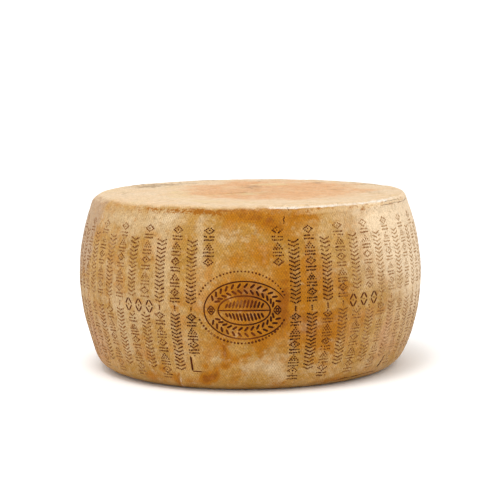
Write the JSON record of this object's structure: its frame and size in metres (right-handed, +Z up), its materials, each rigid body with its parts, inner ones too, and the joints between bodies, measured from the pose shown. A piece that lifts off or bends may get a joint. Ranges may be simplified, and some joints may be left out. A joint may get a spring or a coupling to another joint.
{
  "type": "hard cheese wheel",
  "caption": "Whole uncut wheel of aged hard cheese: a barrel with bulging sides, a flat top face and a rounded foot, marked with dotted columns.",
  "frame": {"origin": "middle of the flat foot that the wheel rests on", "axes": "+Z up along the wheel's own axis, -Y towards the front with the round stamp, +X to the right seen from the front"},
  "size_m": [0.4493, 0.4505, 0.2291],
  "materials": {
    "rind": "waxy golden rind, satin, with brown staining and a paler top face"
  },
  "bodies": {
    "root": {"cheese_wheel": "rind"}
  },
  "joints": []
}
